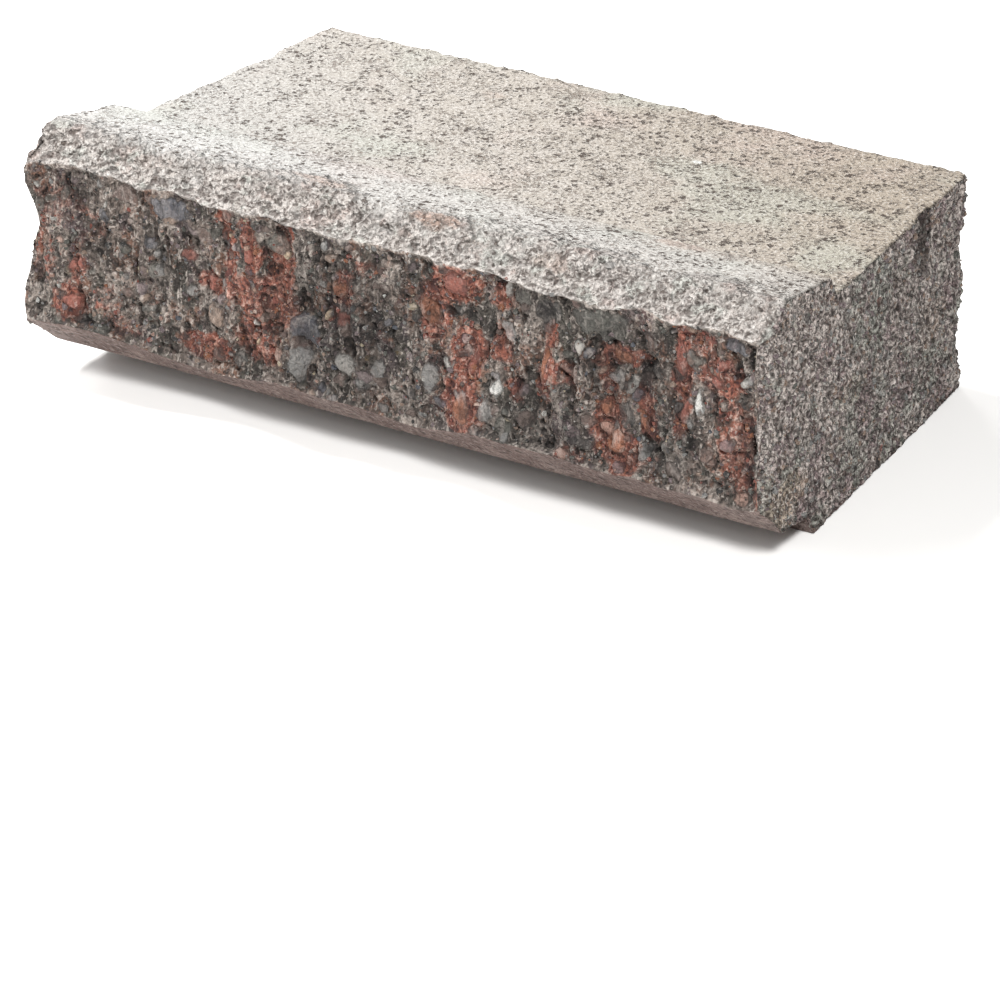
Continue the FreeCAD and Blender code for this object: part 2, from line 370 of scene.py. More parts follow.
def makeForm():
    # the CAD form as a fine grid, with the split face's own shape, the side notches and the broken places
    columns = round(form["frontWidth"] / form["gridStep"])
    rows = round((back - front) / form["gridStep"])
    layers = round((splitTop - splitFoot) / form["gridStep"])
    cells, quads = boxSurface(columns, rows, layers)
    s = cells[:, 0] / columns * 2 - 1
    t = cells[:, 1] / rows
    v = cells[:, 2] / layers
    y = splitY + t * (back - splitY)
    x, y, _ = roundCorners(s * (halfFront - (y - front) * taper), y)
    # the split face's depth where each column and layer meets it, which fades away over the first rows
    depth = np.zeros_like(x)
    deep = t * (back - splitY)
    near = deep < form["splitFade"]
    frontX, frontY, frontPlan = roundCorners(s[near] * (halfFront - (splitY - front) * taper),
                                             np.full(near.sum(), splitY))
    for _ in range(3):
        faceY = frontY - frontPlan[:, 1] * depth[near]
        top, under = np.interp(faceY, *topLine.T), np.interp(faceY, *underLine.T)
        depth[near] = splitShape(frontX, under + v[near] * (top - under), v[near])
    fade = (1 - deep[near] / form["splitFade"]) ** 2
    x[near] -= frontPlan[:, 0] * depth[near] * fade
    y[near] -= frontPlan[:, 1] * depth[near] * fade
    top, under = np.interp(y, *topLine.T), np.interp(y, *underLine.T)
    z = under + v * (top - under)
    # notches: inside a narrowing cone, the side is moved in onto the cone, less so near the top edge, and
    # what lies farther in hardly moves
    notchY = back - form["notchInset"]
    rise = (z - course + form["notchLength"]) / form["notchLength"]
    radius = form["notchTip"] + (form["notchRadius"] - form["notchTip"]) * rise
    sink = np.sqrt(np.maximum(radius ** 2 - (y - notchY) ** 2, 0)) - form["notchOutset"]
    sink *= 0.4 + 0.6 * smooth(0, 7, course - z)
    x -= np.sign(s) * np.abs(s) ** 12 * np.where(rise > 0, np.maximum(sink, 0), 0)
    points = np.stack([x, y, z], 1)
    for middle, reach, push in form["breaks"]:
        points += np.exp(-(((points - middle) / reach) ** 2).sum(1))[:, None] * push
    # signed distances along the surface from the edges of the split face and of the sides and back
    onFront = cells[:, 1] == 0
    onWall = (np.abs(s) == 1) | (cells[:, 1] == rows)
    upDown = np.minimum(v, 1 - v) * (top - under)
    wide = halfFront * (1 - np.abs(s)) - form["cornerWrap"] * onFront
    inSplit = np.where(onFront, np.minimum(wide, upDown), -deep)
    inSide = np.where(onWall, upDown, -np.minimum(wide, back - y))
    inSide = np.where(onFront, np.minimum(-wide, upDown), inSide)
    return points, quads, inSplit, inSide


# Stones and stains that lie open in the faces. The big ones are placed where the real block has
# them, and the small ones are scattered.
stoneTints = {
    "brick": "#7a4b42", "rust": "#805540", "rose": "#8f7469", "brown": "#5c4e49", "mauve": "#6b5f60",
    "slate": "#53555b", "coal": "#393837", "olive": "#53534e", "ash": "#787775", "pale": "#999792",
    "chalk": "#b8b8b4", "sand": "#a18f80", "cream": "#a1957f", "tan": "#827064", "ochre": "#8e754c",
}
tintNames = list(stoneTints)
tintValues = np.array([hexToLinear(stoneTints[name]) for name in tintNames])

# place along and up the face, width, height, lean in degrees, how far it stands out, colour. The sunk coal
# ones are hollows whose dark tint is painted shade.
splitStones = (
    (-130, 98, 14, 10, 0, 0.4, "brown"), (-107, 97, 22, 12, 5, 0.6, "slate"),
    (-99, 89, 6, 13, -35, 1.0, "mauve"), (-76, 92, 3, 5, 0, 0.8, "cream"),
    (-66, 85, 7, 9, -20, 0.2, "brick"), (-66, 78, 7, 4, 0, 0.5, "slate"), (-52, 88, 4, 5, 0, 1.0, "cream"),
    (-41, 94, 4, 6, 0, 0.8, "rose"), (-21, 80, 6, 10, 5, 0.3, "rust"), (-28, 67, 5, 5, 0, 1.2, "cream"),
    (-41, 57, 17, 14, 0, 0.7, "slate"), (-44, 41, 11, 20, 5, 0.9, "ash"),
    (-19, 46, 12, 13, 0, 1.1, "pale"), (-5, 46, 8, 12, 10, 0.6, "ash"), (-90, 66, 8, 9, 0, 0.7, "brick"),
    (-88, 51, 12, 14, 0, 1.2, "tan"), (-54, 43, 7, 7, 0, 1.1, "rose"),
    (-103, 66, 3.5, 3.5, 0, 0.8, "chalk"), (-120, 78, 8, 8, 0, 0.5, "slate"),
    (-113, 67, 6, 8, 0, 0.6, "ash"), (-117, 72, 5, 4, 0, 0.4, "rust"), (-162, 58, 4, 8, 15, 1.0, "cream"),
    (-154, 62, 4, 10, 10, 0.3, "brick"), (-160, 43, 10, 8, -8, 0.9, "brick"),
    (-158, 36, 10, 4, 0, -0.3, "coal"), (-167, 46, 5, 3, 0, 0.6, "tan"), (-182, 35, 5, 3, 0, 0.6, "cream"),
    (-165, 70, 6, 5, 0, 0.5, "rose"), (-113, 33, 7, 3, 0, 0.4, "pale"), (-9, 51, 3, 4, 0, 0.6, "ochre"),
    (-28, 98, 6, 6, 0, 0.6, "ash"), (-141, 87, 9, 8, 20, 0.3, "slate"), (-176, 93, 5, 4, 0, 0.6, "pale"),
    (-143, 34, 9, 5, 0, 0.5, "olive"), (-68, 52, 3, 3, 0, 0.7, "chalk"), (36, 96, 14, 14, 0, 1.1, "brick"),
    (33, 83, 12, 6, 0, -1.2, "coal"), (21, 80, 9, 15, 0, 0.3, "rust"), (30, 58, 8, 9, 0, 0.9, "pale"),
    (21, 49, 9, 16, 10, 0.9, "ash"), (26, 40, 9, 8, 0, 0.6, "slate"), (38, 40, 11, 14, 0, 0.9, "rust"),
    (42, 64, 5, 20, 8, 0.5, "brick"), (54, 53, 6, 8, 0, 0.9, "chalk"), (63, 54, 5, 6, 0, 0.5, "brick"),
    (60, 98, 6, 8, 0, 0.5, "pale"), (79, 94, 14, 12, -25, -0.4, "coal"), (68, 97, 10, 10, 0, 0.3, "olive"),
    (77, 70, 5, 22, 5, 0.3, "rust"), (95, 83, 6, 6, 0, 0.6, "pale"), (105, 94, 26, 19, 0, 0.8, "olive"),
    (113, 80, 10, 8, 0, 0.2, "rust"), (116, 78, 4, 4, 0, 0.8, "ash"), (116, 56, 12, 11, 0, -0.8, "coal"),
    (106, 56, 6, 9, 10, 0.6, "rust"), (111, 44, 11, 14, 12, 0.9, "rust"),
    (125, 56, 4, 18, -22, 0.7, "rust"), (121, 89, 2.5, 3.5, 0, 0.5, "chalk"),
    (135, 47, 4.5, 4.5, 0, 0.8, "pale"), (131, 41, 5, 4, 0, 0.7, "rose"),
    (142, 88, 6, 22, 2, 0.5, "brick"), (144, 66, 5, 14, 5, 0.4, "brick"), (147, 102, 7, 4, 0, 0.6, "tan"),
    (151, 70, 5, 14, 0, 1.0, "chalk"), (171, 85, 6, 6, 20, 0.9, "pale"), (160, 82, 8, 7, 0, 0.4, "brick"),
    (162, 72, 12, 4, 0, 0.3, "olive"), (168, 99, 15, 9, 10, 0.4, "slate"),
    (163, 90, 8, 6, 0, 0.4, "brick"), (60, 34, 6, 7, 0, 0.5, "ash"), (60, 40, 4, 3, 30, 0.6, "cream"),
    (88, 33, 6, 5, 0, 0.6, "rose"), (98, 48, 4, 4, 0, 0.6, "pale"), (13, 74, 5, 5, 0, 0.4, "coal"),
    (5, 57, 5, 4, 0, 0.7, "ochre"), (95, 40, 13, 7, 0, 0.3, "coal"), (92, 70, 8, 8, 0, 0.4, "brown"),
    (50, 42, 8, 12, 0, 0.4, "ash"),
)

# reddened paste: place along and up the face, width, height, lean, strength
splitStains = (
    (-79, 84, 9, 46, 0, 0.9), (-66, 88, 12, 26, -10, 0.8), (-52, 82, 12, 44, 5, 0.8),
    (-62, 64, 34, 26, 0, 0.75), (-90, 66, 12, 14, 0, 0.8), (-94, 35, 26, 12, 0, 0.95),
    (-66, 46, 30, 22, 0, 0.6), (-155, 60, 10, 26, 5, 0.6), (-162, 42, 18, 16, 0, 0.7),
    (-165, 88, 28, 24, 0, 0.38), (-140, 44, 16, 26, 0, 0.38), (-20, 80, 12, 20, 5, 0.7),
    (-27, 68, 9, 9, 0, 0.7), (35, 96, 22, 20, 0, 1.0), (23, 78, 18, 28, 0, 0.7), (40, 62, 14, 34, 6, 0.8),
    (36, 41, 22, 24, 0, 0.95), (56, 93, 16, 9, -25, 0.6), (56, 75, 12, 20, 10, 0.6),
    (63, 54, 10, 12, 0, 0.75), (79, 82, 8, 16, 0, 0.7), (77, 66, 10, 26, 5, 0.8), (87, 68, 12, 10, 0, 0.6),
    (112, 80, 22, 10, 0, 0.85), (107, 70, 7, 20, 0, 0.6), (107, 48, 14, 30, 10, 0.95),
    (114, 40, 20, 20, 0, 0.9), (125, 58, 8, 26, -22, 0.85), (143, 80, 10, 50, 2, 0.95),
    (152, 96, 16, 16, 0, 0.5), (160, 82, 22, 20, 0, 0.6), (165, 68, 28, 12, 0, 0.5),
    (167, 50, 20, 36, 0, 0.6), (178, 38, 8, 14, 0, 0.6), (90, 33, 16, 8, 0, 0.5),
    (-174, 66, 14, 34, 0, 0.38), (-148, 78, 12, 18, 0, 0.38), (-134, 36, 22, 10, 0, 0.38),
    (-120, 56, 16, 16, 0, 0.32), (-10, 92, 26, 10, 0, 0.4),
)

# darker places of the split face: place along and up the face, width, height, lean, strength. The long low
# one is painted shade along the foot.
splitShades = (
    (-24, 66, 62, 60, 0, 0.85), (14, 82, 26, 30, 0, 0.6), (78, 46, 44, 36, 0, 0.85),
    (120, 74, 54, 52, 0, 0.7), (138, 50, 28, 44, 0, 0.9), (70, 95, 26, 18, 0, 0.7),
    (-116, 70, 26, 34, 0, 0.45), (0, 33, 400, 18, 0, 0.55), (176, 48, 20, 40, 0, 0.6),
    (18, 50, 20, 30, 0, 0.4),
)

# darker places on the sides: place along from the block's middle and up, width, height, lean, strength.
# The first one is painted shade in the notch, and the only one on the left side.
sideShades = (
    (57.5, 86, 18, 30, 0, 1.0), (38, 72, 56, 22, 0, 0.35), (10, 46, 44, 30, 0, 0.25),
    (-68, 52, 26, 26, 0, 0.3), (90, 82, 20, 24, 0, 0.3),
)

# sandier paste on the right side, given in the same way
sideStains = ((-80, 28, 34, 20, -5, 1.0), (-20, 50, 30, 18, 0, 0.4), (70, 46, 30, 26, 0, 0.4))

# on the top: place along and back, and then the same as above
topStains = (
    (16, -87, 26, 9, 0, 0.9), (-45, -78, 34, 9, 5, 0.6), (-56, 73, 18, 12, 0, 0.5),
    (110, -46, 26, 12, 0, 0.6), (-120, -92, 20, 8, 0, 0.4), (76, -92, 22, 8, 0, 0.5),
    (150, 40, 40, 30, 0, 0.35), (0, 20, 26, 18, 0, 0.3),
)
# stones on the top: place along and back, width, height, lean, how far it stands out, colour. The sunk coal
# ones are pits whose dark tint is painted shade.
topStones = (
    (59, 55, 6, 5, 0, 0.4, "chalk"), (80, 52, 4.5, 4, 0, -1.2, "coal"),
    (-145, -33, 6, 3, 10, -1.2, "coal"), (119, 20, 4, 3, 0, -1.0, "coal"),
    (99, -48, 5, 3, 0, -1.0, "coal"), (30, -60, 4, 3, 0, -1.0, "coal"), (-20, 5, 4, 3, 20, -1.0, "coal"),
    (-98, 44, 4, 3, 0, -1.0, "coal"), (26, 88, 4, 3, 0, -1.0, "coal"), (-60, -86, 7, 4, 15, 0.5, "ash"),
    (102, -88, 6, 4, -10, 0.5, "ash"), (52, -90, 5, 4, 0, 0.4, "pale"),
)

# stones and pits of the right side. The pits are the sunk coal and brown ones, whose dark tint is painted
# shade.
sideStones = (
    (-63, 101, 8, 7, 0, 0.6, "ash"), (-94, 77, 7, 4, 0, 0.3, "rose"), (-71, 73, 8, 3, 0, 0.4, "tan"),
    (55, 62, 7, 6, 0, 0.5, "mauve"), (-17, 53, 6, 3, 10, 0.4, "tan"), (74, 42, 7, 5, 0, 0.4, "tan"),
    (-11, 12, 6, 6, 0, 0.4, "pale"), (77, 57, 8, 5, 0, 0.2, "mauve"), (6, 54, 4, 6, 0, 0.4, "pale"),
    (11, 75, 5, 5, 0, -0.8, "coal"), (47, 68, 5, 4, 0, -0.8, "coal"), (97, 21, 6, 6, 0, -0.6, "coal"),
    (-84, 30, 8, 6, -5, 0.5, "sand"), (-66, 82, 6, 4, 0, -0.9, "brown"), (-63, 86, 4, 3, 0, -0.9, "coal"),
)

# stones scattered between the placed ones
scattered = {
    # how many, the rectangle's corners, the least and the most width
    "split": (480, (-186, 28), (186, 104), 2.5, 9.0),
    "wall": (260, (-190, 0), (190, 110), 2.2, 6.0),
    "share": 2.2,             # how strongly the small ones outnumber the big ones
    "shape": (0.6, 1.35),     # height as a share of the width
    "rise": (-0.7, 0.9),      # how far one stands out
    # how often each colour is drawn
    "tints": {"slate": 1.5, "ash": 4, "pale": 1.2, "olive": 5, "coal": 4, "mauve": 4, "brown": 7,
              "brick": 1, "tan": 2, "cream": 0.5, "chalk": 0.25, "rose": 0.6},
}
outside = -6.0                # distance from a stone's rim, for places with no stone near
overlap = 1.5                 # a zone's stones reach this far past its edge
sideStart = 160.0             # the walls farther out than this from the middle are the sides


def scatterStones(count, low, high, smallest, biggest, tints, seed):
    # stones at random places in a rectangle, most of them small
    rng = np.random.default_rng(seed)
    places = rng.uniform(low, high, (count, 2))
    widths = smallest * (biggest / smallest) ** (rng.random(count) ** scattered["share"])
    heights = widths * rng.uniform(*scattered["shape"], count)
    leans, rises = rng.uniform(-90, 90, count), rng.uniform(*scattered["rise"], count)
    picks = rng.choice(list(tints), count, p=np.array(list(tints.values())) / sum(tints.values()))
    return list(zip(*places.T, widths, heights, leans, rises, picks))


def ovalPlace(across, rise, width, height, lean):
    # place in an oval that leans, in shares of its half width and half height
    turn = math.radians(lean)
    return ((across * math.cos(turn) - rise * math.sin(turn)) / (width / 2),
            (across * math.sin(turn) + rise * math.cos(turn)) / (height / 2))


def wavered(across, rise, seed, layers):
    # the same places moved about by clouds, so that outlines drawn at them waver
    points = np.stack([across, np.zeros_like(across), rise], 1)
    return [values + clouds(points, [(height, size, seed + start + step, 1)
                                     for step, (height, size) in enumerate(layers)])
            for start, values in ((0, across), (2, rise))]


def layStones(across, rise, stones, seed):
    # distance inside the nearest stone's rim, that stone's tint, and how far its tilted facet stands out
    rng = np.random.default_rng(seed)
    bentAcross, bentRise = wavered(across, rise, seed, ((1.0, 7), (0.5, 2.6)))
    rim = np.full(len(across), outside)
    tint = np.zeros(len(across), np.int64)
    out = np.zeros(len(across))
    for a, b, width, height, lean, proud, name in stones:
        turns = (np.arange(6) + rng.uniform(-0.35, 0.35, 6)) * math.pi / 3
        tilt = rng.normal(0, 0.10, 2)
        reach = max(width, height) / 2 + 3
        near = np.nonzero((np.abs(across - a) < reach) & (np.abs(rise - b) < reach))[0]
        u, w = bentAcross[near] - a, bentRise[near] - b
        half = min(width, height) / 2
        # the outline is half an ellipse and half a polygon
        p, q = ovalPlace(u, w, width, height, lean)
        sides = np.max([p * math.cos(turn) + q * math.sin(turn) for turn in turns], axis=0)
        deep = (1 - 0.45 * np.hypot(p, q) - 0.6 * sides) * half
        closer = deep > rim[near]
        chosen = near[closer]
        rim[chosen] = deep[closer]
        tint[chosen] = tintNames.index(name)
        plate = smooth(0, 0.5 * half, deep[closer])
        out[chosen] = (proud + np.clip(u[closer] * tilt[0] + w[closer] * tilt[1], -0.9, 0.9)) * plate
    return rim, tint, out


def layStainsAndShade(across, rise, stains, seed):
    # how strongly a place is marked: the strongest of the given ovals, whose outlines waver. They lay
    # stains, and darker places among which is painted shade.
    across, rise = wavered(across, rise, seed, ((2.4, 11), (1.2, 4.5)))
    stain = np.zeros(len(across))
    for a, b, width, height, lean, strength in stains:
        far = np.hypot(*ovalPlace(across - a, rise - b, width, height, lean))
        stain = np.maximum(stain, strength * smooth(1.35, 0.65, far))
    return stain


def faceStones(points, inSplit, inSide):
    # the stones and stains of the split face, of the walls and of the top, on the whole block's points:
    # distance inside a stone's rim, its tint, how far it stands out, reddening and shade
    rim, tint = np.full(len(points), outside), np.zeros(len(points), np.int64)
    out, red, shade = np.zeros((3, len(points)))
    mixed = scattered["tints"]
    on = inSplit > -overlap
    x, z = points[on, 0], points[on, 2]
    stones = scatterStones(*scattered["split"], mixed, 201) + list(splitStones)
    rim[on], tint[on], out[on] = layStones(x, z, stones, 210)
    red[on], shade[on] = layStainsAndShade(x, z, splitStains, 220), layStainsAndShade(x, z, splitShades, 225)
    wall, behind = inSide > -overlap, points[:, 1] >= back - overlap
    right, left = points[:, 0] > sideStart, points[:, 0] < -sideStart
    for on, along, given, seed in ((wall & right & ~behind, 1, sideStones, 230),
                                   (wall & left & ~behind, 1, (), 240), (wall & behind, 0, (), 250)):
        stones = scatterStones(*scattered["wall"], mixed, seed) + list(given)
        rim[on], tint[on], out[on] = layStones(points[on, along], points[on, 2], stones, seed + 3)
    on = (inSplit < -0.5) & (inSide < -0.5) & (points[:, 2] > course - form["topReach"])
    x, y = points[on, 0], points[on, 1]
    rim[on], tint[on], out[on] = layStones(x, y, topStones, 260)
    red[on] = layStainsAndShade(x, y, topStains, 265)
    for on, given in ((wall & left, sideShades[:1]), (wall & right, sideShades)):
        shade[on] = layStainsAndShade(points[on, 1], points[on, 2], given, 270)
    red[on] = np.where(inSplit[on] > 0, red[on], layStainsAndShade(points[on, 1], points[on, 2], sideStains, 275))
    return rim, tint, out, red, shade


# Fine relief, as layers of clouds: depth, grain size, seed and upright stretch
carving = {
    "tornFolds": ((2.9, 6, 22, 2.2), (1.9, 3.4, 23, 1)),
    "tornGrain": ((1.1, 1.9, 24, 1),),
    "splitBroad": ((2.3, 11, 26, 2.4), (1.1, 5, 27, 1.8)),
    "sideBroad": ((0.6, 10, 32, 1),),
    "sideCrumbs": ((1.6, 4.0, 33, 1), (1.1, 2.1, 34, 1)),
    "sideHoles": ((1.0, 6.5, 35, 1),),
    "bedWaves": ((0.22, 40, 42, 1), (0.14, 8, 43, 1)),
    "scuffs": ((1.1, 7, 44, 1), (1.3, 3.4, 45, 1), (0.9, 1.9, 46, 1)),
    "wearBroad": ((1.0, 13, 47, 1),),
    "wearFine": ((0.6, 4, 48, 1),),
    "lipShare": 0.18, "bevelShare": 0.95,     # how much of the scuffs shows on the lip and on the bevel
    "lipFade": (-34, -42), "bevelFade": (-80, -90),     # where they set in, from back to front
    "proud": 2.2,             # how strongly the split face's stones stand out
    "bedMarks": 1.0,          # and how strongly the bed's stones and pits do
    "wearWidth": 1.8,         # of the worn edges
    "stepWidth": 9.0,         # the step behind the lip keeps its corners over this width
}


def cutRelief(points, inSplit, inSide, rim, out):
    # depth of the fine relief in each zone: broken stone on the split face, grit on the sides and back,
    # scuffs on the bevel, gentle waves on the beds, and worn edges. A stone is flatter than the paste round
    # it, and a seam runs round it.
    depth = np.zeros(len(points))
    split = smooth(-0.4, 0.4, inSplit)
    side = smooth(-0.6, 0.6, inSide) * (1 - split)
    flat = (1 - split) * (1 - side)
    on = split > 0
    spots = points[on]
    torn = clouds(spots, carving["tornFolds"], folded=True) + clouds(spots, carving["tornGrain"])
    stone = smooth(-0.5, 0.5, rim[on])
    seam = 0.7 * np.exp(-(rim[on] / 0.7) ** 2)
    broad = clouds(spots, carving["splitBroad"])
    stony = 1.2 + torn * (1 - 0.5 * stone) + broad - carving["proud"] * out[on] + seam - 0.3 * stone
    arris = smooth(0.5, 4.0, inSplit[on])
    depth[on] += split[on] * np.maximum(0.35 * (1 - arris) + stony * arris, 0)
    on = side > 0
    spots = points[on]
    stone = smooth(-0.3, 0.4, rim[on])
    holes = 1.3 * np.maximum(clouds(spots, carving["sideHoles"]) - 0.55, 0)
    gritty = 1.1 - clouds(spots, carving["sideBroad"]) - 0.6 * out[on] + holes
    gritty -= clouds(spots, carving["sideCrumbs"]) * (1 - 0.5 * stone)
    depth[on] += side[on] * np.maximum(gritty, 0)
    on = flat > 0
    spots = points[on]
    up = spots[:, 2] > halfHeight
    lip = smooth(*carving["lipFade"], spots[:, 1]) * up
    bevel = smooth(*carving["bevelFade"], spots[:, 1]) * up
    waves = 0.3 + clouds(spots, carving["bedWaves"])
    scuffs = carving["lipShare"] * lip + carving["bevelShare"] * bevel
    scuffs *= clouds(spots, carving["scuffs"]) + 0.7
    arris = 0.25 + 0.75 * smooth(-0.8, -4.0, inSplit[on])
    marks = -carving["bedMarks"] * out[on] * smooth(0, 0.8, rim[on])
    depth[on] += flat[on] * np.maximum(waves + marks + scuffs, 0) * arris
    # edges between the top, sides and back are worn where a slow pattern says so
    on = (np.abs(inSide) < 5) & (split < 1)
    spots = points[on]
    edge = np.exp(-(inSide[on] / carving["wearWidth"]) ** 2) * (1 - split[on])
    worn = 0.55 + 0.9 * np.maximum(clouds(spots, carving["wearBroad"]), -0.3)
    worn += clouds(spots, carving["wearFine"])
    step = np.exp(-((spots[:, 1] - front - form["lipBack"]) / carving["stepWidth"]) ** 2)
    worn -= 1.2 * step * (spots[:, 2] > halfHeight)
    depth[on] += edge * np.maximum(worn, 0)
    return depth


def makeMesh(name, points, faces, even=True):
    # mesh in metres from points in millimetres and rows of corners; an even one is shaded without facets
    mesh = bpy.data.meshes.new(name)
    mesh.vertices.add(len(points))
    mesh.vertices.foreach_set("co", (points * mm).astype(np.float32).ravel())
    mesh.loops.add(faces.size)
    mesh.loops.foreach_set("vertex_index", faces.ravel().astype(np.int32))
    mesh.polygons.add(len(faces))
    mesh.polygons.foreach_set("loop_start", np.arange(0, faces.size, faces.shape[1], dtype=np.int32))
    mesh.update(calc_edges=True)
    mesh.polygons.foreach_set("use_smooth", np.full(len(faces), even))
    return mesh


def setValues(mesh, name, values):
    # one number or one colour for each point, under a name that the materials read
    kind, field = ("FLOAT", "value") if values.ndim == 1 else ("FLOAT_COLOR", "color")
    attribute = mesh.attributes.new(name, kind, "POINT")
    attribute.data.foreach_set(field, values.astype(np.float32).ravel())


def getNumbers(mesh, name):
    # the numbers that a mesh's points carry under a name
    values = np.zeros(len(mesh.vertices), np.float32)
    mesh.attributes[name].data.foreach_get("value", values)
    return values


def addPiece(name, mesh, materials):
    # object at the origin that rides on the block's one body
    piece = bpy.data.objects.new(name, mesh)
    bpy.context.scene.collection.objects.link(piece)
    for material in materials:
        mesh.materials.append(material)
    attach(piece, "root")
    return piece


def keepInBox(points, spare=0.03, soft=1.2):
    # clipped to the CAD part's box, and drawn in softly over the last of it at the front, so that the
    # foremost stones aren't cut flat
    low, high = np.array(cadBox[0]) / mm + spare, np.array(cadBox[1]) / mm - spare
    points = points.copy()
    ahead = points[:, 1] - low[1]
    eased = low[1] + soft * np.exp(np.minimum(ahead, soft) / soft - 1)
    points[:, 1] = np.where(ahead < soft, eased, points[:, 1])
    return np.clip(points, low, high)


points, quads, inSplit, inSide = makeForm()
print("block form:", len(points), "points")
normals = pointNormals(points, quads)
rim, tint, out, red, shade = faceStones(points, inSplit, inSide)
print("stones laid")
relief = cutRelief(points, inSplit, inSide, rim, out)
surface = keepInBox(calmSpikes(points - normals * relief[:, None], quads, form["sharpest"],
                               form["smoothing"]))
blockMesh = makeMesh("fine_block", surface, quads)
for name, values in (("inSplit", inSplit), ("inSide", inSide), ("recess", relief), ("stoneRim", rim),
                     ("red", red), ("shade", shade), ("stoneTint", tintValues[tint])):
    setValues(blockMesh, name, values)
print("relief cut")


# Materials
def atSize(tree, millimetres, stretch=(1, 1, 1), shift=0.0):
    # object coordinates counted in steps of a real size, so that a pattern of scale 1 has that size
    coordinates = addNode(tree, "TexCoord")
    steps = [1000 / (millimetres * share) for share in stretch]
    return addNode(tree, "Mapping", {"Vector": coordinates.outputs["Object"], "Scale": steps,
                                     "Location": (shift, shift * 0.7, shift * 1.3)}).outputs["Vector"]


def noise(tree, millimetres, detail=2.0, rough=0.55, shift=0.0, stretch=(1, 1, 1)):
    # soft random pattern of a real size, about 0.3 to 0.7
    pattern = addNode(tree, "TexNoise", {"Vector": atSize(tree, millimetres, stretch, shift), "Scale": 1.0,
                                         "Detail": detail, "Roughness": rough})
    return pattern.outputs["Fac"]


def grains(tree, vector):
    # cells round scattered points: the distance to a cell's point, and a random number for each cell
    cell = addNode(tree, "TexVoronoi", {"Vector": vector, "Scale": 1.0})
    number = addNode(tree, "SeparateColor", {"Color": cell.outputs["Color"]}).outputs["Red"]
    return cell.outputs["Distance"], number


def mask(tree, source, low, high, most=1.0):
    # 0 under low and most over high, or turned round where low is the greater; a name stands for the
    # mesh's attribute
    if isinstance(source, str):
        source = addNode(tree, "Attribute", attribute_name=source).outputs["Fac"]
    start, end = (0.0, most) if low < high else (most, 0.0)
    return addNode(tree, "MapRange", {"Value": source, "From Min": min(low, high),
                                      "From Max": max(low, high), "To Min": start, "To Max": end},
                   interpolation_type="SMOOTHSTEP").outputs["Result"]


def paint(tree, base, layers):
    # colours laid over a base one after another: a layer is its mask's source, low, high and strength, or
    # a ready factor, and then its colour
    colour = hexToLinear(base) if isinstance(base, str) else base
    for *cover, over in layers:
        over = hexToLinear(over) if isinstance(over, str) else over
        factor = mask(tree, *cover) if len(cover) > 1 else cover[0]
        colour = addNode(tree, "Mix", {"Factor": factor, "A": colour, "B": over}, data_type="RGBA")
        colour = colour.outputs["Result"]
    return colour


def total(tree, terms):
    # sum of sockets, each times its own factor
    value = 0.0
    for socket, factor in terms:
        value = addNode(tree, "Math", {0: socket, 1: factor, 2: value}, operation="MULTIPLY_ADD")
        value = value.outputs["Value"]
    return value


def pores(tree, millimetres, biggest, shift):
    # scattered ragged hollows: each cell's random number sets its hollow's radius, a slow pattern crowds
    # them in some places, and a fine one breaks their outlines
    waver = addNode(tree, "TexNoise", {"Vector": atSize(tree, 0.6 * millimetres, shift=shift),
                                       "Scale": 1.0, "Detail": 1.0})
    bent = addNode(tree, "VectorMath", {0: waver.outputs["Color"], 1: (1.3, 1.3, 1.3),
                                        2: atSize(tree, millimetres, shift=shift)},
                   operation="MULTIPLY_ADD")
    distance, number = grains(tree, bent.outputs["Vector"])
    square = addNode(tree, "Math", {0: number, 1: number}, operation="MULTIPLY").outputs["Value"]
    crowd = noise(tree, 20, 4.0, 0.6, shift + 5)
    ragged = noise(tree, 0.45 * millimetres, 2.0, 0.6, shift + 9)
    return total(tree, [(square, biggest), (crowd, 1.0), (ragged, 0.9), (distance, -1.0)])


def finish(tree, colour, height, roughness, strength=1.0):
    # stone: no metal, no gloss, bump from a height in metres
    bump = addNode(tree, "Bump", {"Height": height, "Distance": 1.0, "Strength": strength})
    shader = addNode(tree, "BsdfPrincipled", {"Base Color": colour, "Roughness": roughness,
                                              "Normal": bump.outputs["Normal"]})
    shader.inputs["Specular IOR Level"].default_value = 0.3
    addNode(tree, "OutputMaterial", {"Surface": shader.outputs["BSDF"]})


